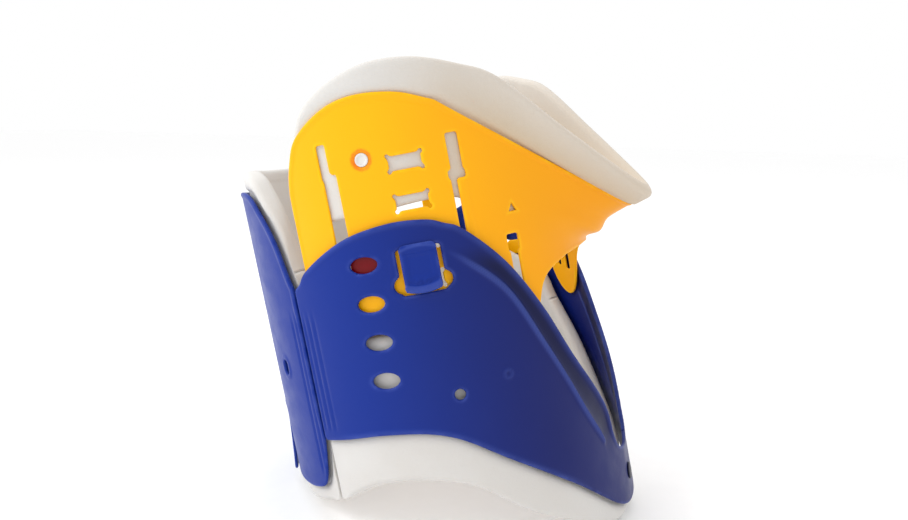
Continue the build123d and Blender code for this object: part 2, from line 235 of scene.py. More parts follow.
# The chin piece's slots as (angle, height, width, length)
CHIN_SLOTS = [(93.6, 54.5, 4.2, 15), (92.4, 25.5, 6.4, 47), (54.3, 48.5, 5.2, 17), (54.6, 40, 7.4, 3.6),
              (55.8, 17, 2.4, 46), (40.6, 7.2, 5.6, 7.4), (40.7, -8, 3.8, 28), (46.3, -17, 2.8, 5.5)]
CHIN_SWEEP = 108.5
PROW_A = 47.5
PROW_ROUND = 7.0
PROW_Y = 109.0
PROW_Z = 9.5
RIM_SLOPE = 0.94
PROW_BEND = 0.65
PROW_ROOT = -2.0
PROW_DROP = 45.0
LOBE = 3.0  # how far the chin piece swells under the prow's nose
BEAD = [(62, 10), (57, 4), (46.5, -12), (37.5, -38), (31, -57), (25, -75), (18, -92)]


def front_outline(top, throat, low):
    """The closed outline of a front piece: over the sides, down the throat opening and round below."""
    upper = smooth(mirrored(throat + top[1:]))
    lower = smooth(mirrored(low))[::-1]
    return unrolled(list(upper) + list(lower))


def rear_outline(top, low):
    """The same round the back, its angles going on past 180 from the right side to the left."""
    over, under = smooth(top), smooth(low)
    upper = [(-a, z) for a, z in over] + [(a - 360, z) for a, z in over[-2::-1]]
    lower = [(a - 360, z) for a, z in under] + [(-a, z) for a, z in under[-2::-1]]
    return unrolled(upper + lower)


# ---------------------------------------------------------------- meshing a wall
def wall_grid(start, end, low, high, step):
    """Angles and heights over a round wall."""
    across = max(2, int(math.ceil((end - start) * ARC / step)) + 1)
    tall = max(2, int(math.ceil((high - low) / step)) + 1)
    a, z = np.meshgrid(np.linspace(start, end, across), np.linspace(low, high, tall), indexing="ij")
    return a, z


def round_points(a, z, radius):
    t = np.radians(a)
    return np.stack([radius * np.sin(t), -radius * np.cos(t), z + 0 * a], -1)


def normals_of(points):
    n = np.cross(np.gradient(points, axis=0), np.gradient(points, axis=1))
    return n / np.linalg.norm(n, axis=-1, keepdims=True)


def surface_distance(field, points):
    """A field that is zero on an edge, rescaled to be the distance from it along the surface."""
    pa, pz = np.gradient(points, axis=0), np.gradient(points, axis=1)
    fa, fz = np.gradient(field, axis=0), np.gradient(field, axis=1)
    e, f, g = (pa * pa).sum(-1), (pa * pz).sum(-1), (pz * pz).sum(-1)
    slope = (g * fa**2 - 2 * f * fa * fz + e * fz**2) / np.maximum(e * g - f * f, 1e-9)
    return field / np.sqrt(np.maximum(slope, 1e-4))


SNAP = 0.28  # in cells of the grid
EDGE_ANGLES = (30, 60, 90, 120, 150)  # the rows of a rounded edge, with a flat between two rows at 90


def panel(name, points, inside, thick, edge, attributes=None):
    """A closed panel of some thickness with rounded edges, over the part of a grid of places on its middle
    surface where inside, the distance from its outline, is positive. thick may vary over the grid."""
    thick = thick + 0 * inside
    edge = np.minimum(edge, thick / 2 - 0.02)
    value = inside - edge
    normal = normals_of(points)
    count_a, count_z = value.shape
    extra = [np.asarray(v + 0 * value) for v in (attributes or {}).values()]
    data = np.concatenate([points, normal, thick[..., None], edge[..., None], inside[..., None]]
                          + [v[..., None] for v in extra], -1)
    # Places of the grid close inside the outline are moved onto it, which leaves no sliver faces along it.
    state = np.where(value > 0, 1, -1)
    moved = data.copy()
    least = np.full(value.shape, SNAP)
    for axis, way in ((0, 1), (0, -1), (1, 1), (1, -1)):
        other = np.roll(value, -way, axis)
        near = np.roll(data, -way, axis)
        share = value / np.where(value - other == 0, 1, value - other)
        valid = (value > 0) & (other <= 0) & (share < least)
        edge_row = -1 if way == 1 else 0
        if axis == 0:
            valid[edge_row, :] = False
        else:
            valid[:, edge_row] = False
        moved[valid] = (data + (near - data) * share[..., None])[valid]
        least[valid] = share[valid]
        state[valid] = 0
    rows, index = [], {}

    def corner(i, j):
        key = (i, j)
        if key not in index:
            index[key] = len(rows)
            rows.append(moved[i, j])
        return index[key]

    def crossing(i, j, k, m):
        key = (i, j, k, m) if (i, j) < (k, m) else (k, m, i, j)
        if key not in index:
            share = value[i, j] / (value[i, j] - value[k, m])
            index[key] = len(rows)
            rows.append(data[i, j] + (data[k, m] - data[i, j]) * share)
        return index[key]

    faces = []
    live = state >= 0
    cells = live[:-1, :-1] | live[1:, :-1] | live[:-1, 1:] | live[1:, 1:]
    for i, j in zip(*np.nonzero(cells)):
        ring = ((i, j), (i + 1, j), (i + 1, j + 1), (i, j + 1))
        loop = []
        for n in range(4):
            here, there = ring[n], ring[(n + 1) % 4]
            if state[here] >= 0:
                loop.append(corner(*here))
            if {state[here], state[there]} == {1, -1}:
                loop.append(crossing(*here, *there))
        if len(loop) >= 3 and any(state[c] == 1 for c in ring):
            faces.append(loop)
    rows = np.array(rows)
    used = {}
    for loop in faces:
        for a, b in zip(loop, loop[1:] + loop[:1]):
            used[(a, b)] = used.get((a, b), 0) + 1
    rim = {a: b for a, b in used if (b, a) not in used}
    before = {b: a for a, b in rim.items()}
    place, out = rows[:, :3], rows[:, 3:6] / np.linalg.norm(rows[:, 3:6], axis=1, keepdims=True)
    half, soft = rows[:, 6] / 2, rows[:, 7]
    vertices = [place + out * half[:, None], place - out * half[:, None]]
    total = len(rows)
    built = [tuple(f) for f in faces] + [tuple(i + total for i in reversed(f)) for f in faces]
    ids = sorted(rim)
    order = {v: n for n, v in enumerate(ids)}
    ids = np.array(ids)
    ahead = place[[rim[v] for v in ids]] - place[[before.get(v, v) for v in ids]]
    away = np.cross(ahead, out[ids])
    away /= np.maximum(np.linalg.norm(away, axis=1, keepdims=True), 1e-9)
    levels = []
    for degrees in EDGE_ANGLES:
        c, s = math.cos(math.radians(degrees)), math.sin(math.radians(degrees))
        if degrees == 90:
            for sign in (1, -1):
                levels.append(place[ids] + out[ids] * ((half[ids] - soft[ids]) * sign)[:, None]
                              + away * soft[ids][:, None])
        else:
            shift = (half[ids] - soft[ids]) * (1 if degrees < 90 else -1)
            rise, reach = shift + soft[ids] * c, soft[ids] * s
            levels.append(place[ids] + out[ids] * rise[:, None] + away * reach[:, None])
    starts = [None] + [2 * total + n * len(ids) for n in range(len(levels))] + [None]

    def at(level, v):
        if level == 0:
            return v
        if level == len(levels) + 1:
            return v + total
        return starts[level] + order[v]

    for a, b in rim.items():
        if b not in order:
            continue
        for level in range(len(levels) + 1):
            built.append((at(level, b), at(level, a), at(level + 1, a), at(level + 1, b)))
    vertices = np.vstack(vertices + levels)
    placed = to_frame(vertices)
    placed[:, 2] = np.maximum(placed[:, 2], 0)
    mesh = bpy.data.meshes.new(name)
    mesh.from_pydata(placed.tolist(), [], built)
    mesh.validate()
    mesh.polygons.foreach_set("use_smooth", [True] * len(mesh.polygons))
    names = ["rim"] + list((attributes or {}).keys())
    for n, key in enumerate(names):
        column = rows[:, 8 + n]
        if key == "rim":
            column = np.exp(-np.maximum(column - 0.3, 0) / 1.6)
        values = np.concatenate([column, column] + [column[ids]] * len(levels))
        layer = mesh.attributes.new(key, "FLOAT", "POINT")
        layer.data.foreach_set("value", values[: len(mesh.vertices)].astype(np.float32))
    mesh.update()
    piece = bpy.data.objects.new(name, mesh)
    bpy.context.collection.objects.link(piece)
    return piece


# ---------------------------------------------------------------- the shells
def side_name(sign):
    return "left" if sign > 0 else "right"


def windows(a, z, sign):
    """How far each place is from the nearest size window of one side."""
    x = (a - sign * WINDOW_A) * ARC
    return np.min([-oval(x, z - WINDOW_TOP + n * PITCH, *WINDOW_SIZE) for n in range(STEPS)], axis=0)


def latch_slot(a, z, sign):
    """How far each place is from the slot round one latch, with a finger notch at each lower corner."""
    x = (a - sign * LATCH_A) * ARC
    top, low = LATCH_TOP - LATCH_BAND, LATCH_LOW - LATCH_SLOT_LOW
    half_x, half_z = LATCH_W / 2 + LATCH_SLOT, (top - low) / 2
    slot = rounded_box(x, z - (top + low) / 2, half_x, half_z, LATCH_SLOT_ROUND)
    out, up, radius = LATCH_NOTCH
    for end in (-1, 1):
        notch = radius - np.hypot(x - end * (LATCH_W / 2 + out), z - LATCH_LOW - up)
        slot = np.maximum(slot, notch)
    return -slot


def grooves(a, z, angles, low, high):
    """The depth of the moulded grooves at some angles, which run out at both ends."""
    lines = sum(ridge((a - angle) * ARC, GROOVE_WIDE) for angle in angles)
    return GROOVE_DEEP * lines * step_up(z, low, high) * step_up(-z, 4, 14)


FRONT = front_outline(SHELL_TOP, THROAT, SHELL_LOW)
REAR = rear_outline(REAR_TOP, REAR_LOW)


def make_front_shell(step):
    a, z = wall_grid(HINGE_A - 1, CLOSE_A + 1, -133, 28, step)
    s = a * ARC
    outline = polygon_distance(s, z, FRONT)
    inside = np.minimum(outline, np.minimum(a - HINGE_A - HINGE_GAP, CLOSE_A - a) * ARC)
    ring = np.full(a.shape, FAR)
    slots = np.full(a.shape, FAR)
    for sign in (-1, 1):
        inside = np.minimum(inside, windows(a, z, sign))
        slots = np.minimum(slots, latch_slot(a, z, sign))
        peep = np.hypot((a - sign * PEEP[0]) * ARC, z - PEEP[1])
        inside = np.minimum(inside, peep - PEEP[2])
        ring = np.minimum(ring, np.hypot((a - sign * RING[0]) * ARC, z - RING[1]))
    inside = np.minimum(inside, slots)
    # A bead runs beside the throat opening, with a dished channel between it and the edge's standing lip.
    bead_line = smooth(BEAD)
    channel = [(p * ARC, q) for p, q in bead_line] + [(18 * ARC, -106), (0, -106), (0, 30), (62 * ARC, 30)]
    inner = polygon_distance(np.abs(s), z, channel)
    bead = line_distance(np.abs(s), z, channel[:len(bead_line)])
    ends = step_up(z, -101, -84) * step_up(12.0 - z, 0, 14)
    share = np.clip(inner / np.maximum(inner + np.abs(outline), 0.1), 0, 1)
    dish = np.where(inner > 0, np.sin(np.pi * share) ** 0.8 * ends, 0)
    lip = ridge(outline - 1.2, 0.9) * step_up(110 - np.abs(a), 0, 8) * step_up(z, -108, -96)
    circle = ridge(ring - RING[2], 0.55)
    raised = 1.25 * ridge(bead, 1.05) * ends + 0.45 * lip - dish * (1 - lip)
    raised += 0.4 * circle - 0.25 * ridge(ring, 1.0) + 0.22 * ridge(slots - 1.6, 1.1)
    raised -= grooves(a, z, FRONT_GROOVES, -62, -58)
    back = -0.15 * dish
    points = round_points(a, z, SHELL_MID + (raised + back) / 2)
    # Painted highlight along the bead, the edge's lip and the ring.
    painted_highlight = np.clip(ridge(bead, 0.85) * ends + 0.35 * lip + 0.3 * circle, 0, 1)
    # Painted shade in the dished channel, and painted light: a paler blue toward the back of the shell.
    marks = {"painted_highlight": painted_highlight, "painted_channel_shade": np.clip(dish * (1 - lip), 0, 1), "painted_light": step_up(np.abs(a), 30, 105)}
    return panel("front_shell_moulding", points, inside, SHELL_T + raised - back, SHELL_EDGE, marks)


def make_rear_shell(step):
    a, z = wall_grid(REAR_END_A - 1, HINGE_A + 1, -93, 53, step)
    inside = polygon_distance(a * ARC, z, REAR)
    inside = np.minimum(inside, np.minimum(HINGE_A - HINGE_GAP - a, a - REAR_END_A) * ARC)
    inside = np.minimum(inside, -rounded_box((a + 180) * ARC, z - REAR_OPENING_Z, *REAR_OPENING))
    inside = np.minimum(inside, -rounded_box((a - REAR_SLOT_A) * ARC, z - REAR_SLOT_Z, *REAR_SLOT))
    slit_a, slit_top, slit_half = TAB_SLIT
    for centre in (-slit_a, slit_a - 360):
        slit = rounded_box((a - centre) * ARC, z - slit_top + TAB_SLIT_HALF, slit_half, TAB_SLIT_HALF, 0.8)
        inside = np.minimum(inside, -slit)
    flap = step_up(TAB_HALF_A - np.abs(a + 180), 0, 1.5) * np.clip((slit_top - z) / TAB_SLIT_HALF, 0, 1)
    raised = 0.5 * ridge(inside - 1.2, 0.9) * step_up(z, -60, -50) - grooves(a, z, REAR_GROOVES, -84, -78)
    points = round_points(a, z, SHELL_MID + TAB_FLARE * flap**1.5 + raised / 2)
    # Painted light: the whole back shell takes the paler blue.
    return panel("rear_shell_moulding", points, inside, SHELL_T + raised, SHELL_EDGE, {"painted_light": 1.0 + 0 * a})


def make_latch(sign, step):
    """A locking tab, thinned at the top to a band that lies over the shell, where it bends. A lip turns out
    along its curved low edge, under a shallow thumb dish and two small round marks."""
    a, z = wall_grid(sign * LATCH_A - 8, sign * LATCH_A + 8, LATCH_LOW - 2, LATCH_TOP + 2, step)
    x = (a - sign * LATCH_A) * ARC
    half_x, half_z = LATCH_W / 2, (LATCH_TOP - LATCH_LOW) / 2
    inside = rounded_box(x, z - (LATCH_TOP + LATCH_LOW) / 2, half_x, half_z, LATCH_ROUND)
    curved = LATCH_LOW + 1.6 * (x / half_x) ** 2
    inside = np.minimum(inside, z - curved)
    lip = ridge(z - curved - 1.1, 1.2)
    hinge = ridge(z - LATCH_TOP + 1.0 + (x / 7.0) ** 2, 0.5)
    dish = step_up(rounded_box(x, z - 6.2, 6.0, 5.6, 2.4), 0, 2.0)
    studs = np.hypot(np.abs(x) - 1.7, z + 0.6)
    raised = 1.9 * lip + 0.2 * hinge - 0.35 * dish + 0.4 * ridge(studs - 0.9, 0.35)
    band = step_up(z, LATCH_TOP - 3.6, LATCH_TOP - 2.2)
    back = SHELL_R - SHELL_T + LATCH_BACK + LATCH_LIFT * band
    thick = LATCH_T + raised - LATCH_THIN * band
    points = round_points(a, z, back + thick / 2)
    # Painted highlight along the lip and the bend, and painted light: a paler blue over the tab.
    marks = {"painted_highlight": np.clip(0.6 * lip + 0.6 * hinge, 0, 1), "painted_light": 0.9 + 0 * a}
    return panel(side_name(sign) + "_latch_tab", points, inside, thick, LATCH_EDGE, marks)


# ---------------------------------------------------------------- the chin piece and its foam
def chin_profile(angle, rises):
    """Distance from the axis and height, up the outside of the chin piece at an angle."""
    rim = CHIN_R / math.cos(math.radians(max(0.0, PROW_A - math.hypot(angle, PROW_ROUND))))
    rim_z = PROW_Z + RIM_SLOPE * (PROW_Y - rim * math.cos(math.radians(angle)))
    flare = np.maximum(rises, 0)
    radius = CHIN_R + (rim - CHIN_R) * flare
    height = PROW_ROOT + (rim_z - PROW_ROOT) * flare**PROW_BEND + np.minimum(rises, 0) * PROW_DROP
    return radius, height


def chin_grid(depth, step, top):
    """Places at a depth under the outside of the chin piece's form, evenly spaced up each line."""
    columns = np.linspace(-CHIN_SWEEP - 1, CHIN_SWEEP + 1, int(2 * CHIN_SWEEP * 1.55 / step))
    rises = np.concatenate([np.linspace(-1, 0, 60), np.linspace(0, 1, 240)[1:] ** 1.6 * top])
    count = int(150 / step)
    points, shares = [], []
    for angle in columns:
        radius, height = chin_profile(angle, rises)
        dr, dz = np.gradient(radius), np.gradient(height)
        size = np.hypot(dr, dz)
        radius, height = radius - depth * dz / size, height + depth * dr / size
        along = np.concatenate([[0], np.cumsum(np.hypot(np.diff(radius), np.diff(height)))])
        even = np.linspace(0, along[-1], count)
        points.append(round_points(angle, np.interp(even, along, height), np.interp(even, along, radius)))
        shares.append(np.interp(even, along, rises))
    points = np.array(points)
    return columns[:, None] + 0 * points[..., 0], np.array(shares), points


def below_side(points, curve, end_slope):
    """Signed distance under a line seen from the side, carried on past the front."""
    far = (-170.0, curve[-1][1] - end_slope * (170.0 + curve[-1][0]))
    outline = list(smooth(curve)) + [far, (-170.0, -200.0), (curve[0][0], -200.0)]
    return surface_distance(polygon_distance(points[..., 1], points[..., 2], outline), points)


def chin_rim_distance(points):
    return below_side(points, CHIN_TOP, RIM_SLOPE)


def make_chin_piece(step):
    a, rise, points = chin_grid(CHIN_T / 2, step, 1.2)
    x, y, z = points[..., 0], points[..., 1], points[..., 2]
    s = a * math.radians(1) * CHIN_R
    rim = chin_rim_distance(points)
    low = smooth(CHIN_LOW)
    under = [(-p, q) for p, q in low] + [(p, q) for p, q in low[::-1]]
    under = [(-200, SIDE_LOW)] + under + [(200, SIDE_LOW), (200, 200), (-200, 200)]
    front_low = surface_distance(polygon_distance(x, z, under), points)
    inside = np.minimum(rim, np.where(y < 0, front_low, z - SIDE_LOW))
    inside = np.minimum(inside, (CHIN_SWEEP - np.abs(a)) * ARC)
    raised = np.zeros(a.shape)
    painted_seat_shade = np.zeros(a.shape)

    def across(angle):
        """How far round the wall each place is from an angle."""
        return s - angle * math.radians(1) * CHIN_R

    ear_x, ear_z, ear_radius = LADDER_EAR
    nick_a, nick_foot, nick_half, nick_slope = NICK
    rivet_a, rivet_z, rivet_radius = CHIN_RIVET
    rib_a, rib_high, rib_wide = RIB
    for sign in (-1, 1):
        beside = across(sign * LADDER_A)
        for n in range(STEPS):
            level = z - LADDER_TOP + n * PITCH
            hole = -rounded_box(beside, level, *LADDER_HOLE)
            corner = np.hypot(np.abs(beside) - ear_x, np.abs(level) - ear_z) - ear_radius
            inside = np.minimum(inside, np.minimum(hole, corner))
        for angle, height, wide, tall in CHIN_SLOTS:
            slot = rounded_box(across(sign * angle), z - height, wide / 2, tall / 2, 0.9)
            inside = np.minimum(inside, -slot)
        beside = np.abs(across(sign * nick_a))
        nick = np.maximum(beside - nick_half + (z - nick_foot) * nick_slope, nick_foot - z)
        inside = np.minimum(inside, nick)
        plug = np.hypot(across(sign * rivet_a), z - rivet_z)
        inside = np.minimum(inside, plug - rivet_radius)
        raised -= 0.45 * step_up(4.5 - plug, 0, 1.0)
        # Painted shade: an orange ring in the recess round each plug.
        painted_seat_shade = np.maximum(painted_seat_shade, step_up(4.9 - plug, 0, 0.8))
        rib = ridge(across(sign * rib_a), rib_wide)
        raised += rib_high * rib * step_up(z, -26, -16) * step_up(58 - z, 0, 8)
    raised += 0.45 * ridge(rim - 1.2, 0.9)
    lobe = LOBE * ridge(rise - 0.26, 0.15) * ridge(a, 17.0)
    points = points + normals_of(points) * (raised / 2 + lobe)[..., None]
    # Painted shade: a deeper orange toward the front of the chin piece.
    marks = {"warm_shade": step_up(80 - np.abs(a), 0, 70), "painted_seat_shade": painted_seat_shade}
    return panel("chin_piece_moulding", points, inside, CHIN_T + raised, CHIN_EDGE, marks)


def make_chin_foam(step):
    a, _, points = chin_grid(CHIN_R - FOAM_R + CHIN_FOAM_T / 2, step, 1.9)
    rim = chin_rim_distance(points)
    inside = below_side(points, CHIN_FOAM_TOP, 0.9)
    inside = np.minimum(inside, surface_distance(points[..., 1] + CHIN_FOAM_TIP, points))
    inside = np.minimum(inside, -below_side(points, CHIN_FOAM_LOW, 0.6))
    inside = np.minimum(inside, (CHIN_SWEEP - 2.5 - np.abs(a)) * ARC)
    over = step_up(-rim, -0.5, 3.0)
    front = step_up(55 - np.abs(a), 0, 35)
    grow = over * (1.6 + 1.6 * front)
    points = points + normals_of(points) * (grow * (0.5 - 0.2 * front))[..., None]
    # Painted shade: a darker beige on the pad near the chin piece's rim, toward the front.
    warm_shade = step_up(78 - np.abs(a), 0, 45) * np.exp(-np.maximum(-rim, 0) / 16.0)
    return panel("chin_foam_pad", points, inside, CHIN_FOAM_T + grow, FOAM_EDGE, {"warm_shade": warm_shade})


# ---------------------------------------------------------------- the liners
def liner_edge(a):
    """How round a liner's edge is: soft, but nearly square where the two liners meet at the hinge."""
    return 0.5 + 2.1 * step_up(np.abs(a - HINGE_A) * ARC, 3, 9)


def make_front_foam(step):
    a, z = wall_grid(HINGE_A - 1, CLOSE_A + 1, -141, 24, step)
    s = a * ARC
    inside = polygon_distance(s, z, front_outline(FOAM_TOP, FOAM_THROAT, FOAM_LOW))
    inside = np.minimum(inside, np.minimum(a - HINGE_A - LINER_GAP, CLOSE_A - a) * ARC)
    pocket = step_up(z, -24.0, -22.2) * step_up(111 - np.abs(a), 0, 3)
    proud = step_up(-polygon_distance(s, z, FRONT), 0.4, 3.0) * step_up(-z, 50, 60)
    low = FOAM_PROUD * proud - POCKET * pocket
    points = round_points(a, z, FOAM_R - FOAM_T / 2 + low / 2)
    return panel("front_foam_liner", points, inside, FOAM_T + low, liner_edge(a))


def make_rear_foam(step):
    a, z = wall_grid(REAR_END_A - 1, HINGE_A + 1, -104, 63, step)
    s = a * ARC
    inside = polygon_distance(s, z, rear_outline(REAR_FOAM_TOP, REAR_FOAM_LOW))
    inside = np.minimum(inside, np.minimum(HINGE_A - LINER_GAP - a, a - REAR_END_A) * ARC)
    inside = np.minimum(inside, -rounded_box((a + 180) * ARC, z - REAR_OPENING_Z, *REAR_OPENING))
    low = FOAM_PROUD * step_up(-polygon_distance(s, z, REAR), 0.4, 3.0)
    points = round_points(a, z, FOAM_R - FOAM_T / 2 + low / 2)
    return panel("rear_foam_liner", points, inside, FOAM_T + low, liner_edge(a))


# ---------------------------------------------------------------- small pieces
def patch(name, angle, height, half_x, half_z, radius, distance, thick, edge, step):
    """A rounded patch lying on the wall at a distance from the axis."""
    reach = math.degrees((half_x + 2) / distance)
    a, z = wall_grid(angle - reach, angle + reach, height - half_z - 2, height + half_z + 2, step)
    x = (a - angle) * math.radians(1) * distance
    inside = rounded_box(x, z - height, half_x, half_z, radius)
    return panel(name, round_points(a, z, distance + thick / 2), inside, thick, edge)


def turned(name, angle, height, start, profile, sides=40):
    """A round piece turned about the line that looks out of the wall. The profile's places are
    (radius, distance from start)."""
    t = math.radians(angle)
    out = np.array([math.sin(t), -math.cos(t), 0])
    along = np.array([math.cos(t), math.sin(t), 0])
    foot = out * start + np.array([0, 0, height])
    rise = np.array([0, 0, 1])
    rows = []
    for radius, lift in profile:
        for n in range(sides):
            w = 2 * math.pi * n / sides
            rows.append(foot + out * lift + radius * (along * math.cos(w) + rise * math.sin(w)))
    faces = []
    for lower in range(0, (len(profile) - 1) * sides, sides):
        upper = lower + sides
        for n in range(sides):
            after = (n + 1) % sides
            faces.append((lower + n, lower + after, upper + after, upper + n))
    faces += [tuple(range(sides))[::-1], tuple(len(rows) - sides + n for n in range(sides))]
    mesh = bpy.data.meshes.new(name)
    mesh.from_pydata(to_frame(rows).tolist(), [], faces)
    mesh.polygons.foreach_set("use_smooth", [True] * len(mesh.polygons))
    return mesh


def joined(name, meshes):
    """One object of several meshes."""
    made = []
    for mesh in meshes:
        made.append(bpy.data.objects.new(name, mesh))
        bpy.context.collection.objects.link(made[-1])
    if len(made) > 1:
        with bpy.context.temp_override(active_object=made[0], selected_editable_objects=made):
            bpy.ops.object.join()
    made[0].name = name
    return made[0]


def head_profile(radius, tall, shank, deep):
    """A low domed rivet head with a soft edge, over its shank."""
    rows = [(shank, -deep), (shank, 0.0), (radius - 0.3, 0.0), (radius, 0.25), (radius - 0.05, tall * 0.45)]
    rows += [(radius * math.cos(w), tall * (0.45 + 0.55 * math.sin(w))) for w in (0.45, 0.8, 1.1, 1.35)]
    return rows


# ---------------------------------------------------------------- materials
def rgb(red, green, blue):
    """An sRGB colour of 0 to 255 as a shader colour."""
    values = [c / 255 for c in (red, green, blue)]
    return [c / 12.92 if c <= 0.04045 else ((c + 0.055) / 1.055) ** 2.4 for c in values] + [1.0]


class Nodes:
    """A material's nodes, built from left to right."""

    def __init__(self, name):
        self.material = bpy.data.materials.new(name)
        self.material.use_nodes = True
        self.tree = self.material.node_tree
        self.shader = self.tree.nodes["Principled BSDF"]
        self.place = self.add("ShaderNodeTexCoord").outputs["Object"]

    def add(self, kind, **settings):
        node = self.tree.nodes.new(kind)
        for key, value in settings.items():
            setattr(node, key, value)
        return node

    def set(self, socket, value):
        if isinstance(value, bpy.types.NodeSocket):
            self.tree.links.new(value, socket)
        else:
            socket.default_value = value

    def noise(self, scale, detail=3.0, rough=0.55, stretch=None):
        node = self.add("ShaderNodeTexNoise")
        place = self.place
        if stretch:
            mapping = self.add("ShaderNodeMapping")
            self.set(mapping.inputs["Vector"], self.place)
            mapping.inputs["Scale"].default_value = stretch
            place = mapping.outputs["Vector"]
        self.set(node.inputs["Vector"], place)
        node.inputs["Scale"].default_value = scale
        node.inputs["Detail"].default_value = detail
        node.inputs["Roughness"].default_value = rough
        return node.outputs["Fac"]

    def cells(self, scale):
        node = self.add("ShaderNodeTexVoronoi", feature="F1")
        self.set(node.inputs["Vector"], self.place)
        node.inputs["Scale"].default_value = scale
        return node.outputs["Distance"]

    def attribute(self, name):
        return self.add("ShaderNodeAttribute", attribute_name=name).outputs["Fac"]

    def spread(self, value, low, high, start=0.0, end=1.0):
        node = self.add("ShaderNodeMapRange", interpolation_type="SMOOTHSTEP")
        for socket, v in zip(node.inputs, (value, low, high, start, end)):
            self.set(socket, v)
        return node.outputs["Result"]

    def maths(self, operation, a, b):
        node = self.add("ShaderNodeMath", operation=operation)
        self.set(node.inputs[0], a)
        self.set(node.inputs[1], b)
        return node.outputs["Value"]

    def mix(self, share, a, b):
        node = self.add("ShaderNodeMix", data_type="RGBA")
        self.set(node.inputs["Factor"], share)
        colours = [s for s in node.inputs if s.type == "RGBA"]
        self.set(colours[0], a)
        self.set(colours[1], b)
        return [s for s in node.outputs if s.type == "RGBA"][0]

    def bump(self, height, distance, strength=1.0, under=None):
        node = self.add("ShaderNodeBump")
        self.set(node.inputs["Height"], height)
        node.inputs["Distance"].default_value = distance
        node.inputs["Strength"].default_value = strength
        if under is not None:
            self.set(node.inputs["Normal"], under)
        return node.outputs["Normal"]

    def finish(self, **inputs):
        for key, value in inputs.items():
            self.set(self.shader.inputs[key.replace("_", " ")], value)
        return self.material


def plastic(name, colour, deep, worn_and_highlight, roughness, glow=0.0, warm_shade=None, painted_light=None):
    """Moulded polyethylene: a satin, faintly pebbled skin, a little uneven and paler along its edges from
    wear and partly a painted highlight, with painted highlights, painted shade and painted light where its
    pieces mark them.
    """
    n = Nodes(name)
    cloudy = n.spread(n.noise(14.0, 2.0), 0.35, 0.7)
    tone = n.mix(n.maths("MULTIPLY", cloudy, 0.45), colour, deep)
    # Painted shade on the chin piece: a deeper orange toward its front, and an orange ring in the recess
    # round each plug.
    if warm_shade:
        tone = n.mix(n.maths("MULTIPLY", n.attribute("warm_shade"), 0.6), tone, warm_shade)
        tone = n.mix(n.maths("MULTIPLY", n.attribute("painted_seat_shade"), 0.8), tone, rgb(232, 96, 20))
    # Painted light: a paler blue on the back shell, toward the back of the front shell and on the latch tabs.
    if painted_light:
        tone = n.mix(n.attribute("painted_light"), tone, painted_light)
    # Painted shade in the bead's channel.
    shadow = [c * 0.3 for c in deep[:3]] + [1.0]
    tone = n.mix(n.maths("MULTIPLY", n.attribute("painted_channel_shade"), 0.8), tone, shadow)
    # Painted highlight along beads, lips and rings.
    tone = n.mix(n.maths("MULTIPLY", n.attribute("painted_highlight"), 0.5), tone, worn_and_highlight)
    # Edges paler in patches, from wear and partly a painted highlight; the scuffs are wear.
    patchy = n.spread(n.noise(160.0, 4.0), 0.3, 0.75)
    edge = n.maths("MULTIPLY", n.spread(n.attribute("rim"), 0.35, 1.0), patchy)
    scuffs = n.spread(n.noise(55.0, 6.0, 0.7, (1.0, 1.0, 5.0)), 0.66, 0.8)
    tone = n.mix(n.maths("MULTIPLY", edge, 0.45), tone, worn_and_highlight)
    tone = n.mix(n.maths("MULTIPLY", scuffs, 0.10), tone, worn_and_highlight)
    rough = n.spread(n.noise(90.0, 4.0), 0.3, 0.7, roughness - 0.05, roughness + 0.07)
    skin = n.bump(n.noise(1500.0, 2.0), 0.00006, 0.55)
    skin = n.bump(n.noise(60.0, 2.0), 0.0003, 0.10, skin)
    return n.finish(Base_Color=tone, Roughness=rough, Normal=skin, Specular_IOR_Level=0.2,
                    Subsurface_Weight=glow, Subsurface_Radius=(0.003, 0.0022, 0.0008), Subsurface_Scale=1.0)


def foam(name, colour, shade, warm_shade):
    """Closed-cell foam sheet: pale and matt, its fine cells just showing, with a painted beige shade on the
    chin pad near the chin piece's rim.
    """
    n = Nodes(name)
    cloudy = n.spread(n.noise(22.0, 4.0), 0.35, 0.72)
    tone = n.mix(n.maths("MULTIPLY", cloudy, 0.6), colour, shade)
    # Painted shade: a darker beige near the chin piece's rim.
    tone = n.mix(n.maths("MULTIPLY", n.attribute("warm_shade"), 0.85), tone, warm_shade)
    specks = n.spread(n.cells(1100.0), 0.0, 0.55, 1.0, 0.0)
    tone = n.mix(n.maths("MULTIPLY", specks, 0.10), tone, shade)
    skin = n.bump(n.cells(1100.0), 0.00014, 0.5)
    skin = n.bump(n.noise(170.0, 3.0), 0.0004, 0.18, skin)
    skin = n.bump(n.noise(28.0, 1.0), 0.0020, 0.16, skin)
    rough = n.spread(n.noise(60.0, 3.0), 0.3, 0.7, 0.74, 0.88)
    return n.finish(Base_Color=tone, Roughness=rough, Normal=skin, Specular_IOR_Level=0.3, Sheen_Weight=0.12,
                    Sheen_Roughness=0.5, Subsurface_Weight=0.12, Subsurface_Radius=(0.004, 0.0035, 0.003),
                    Subsurface_Scale=1.0)


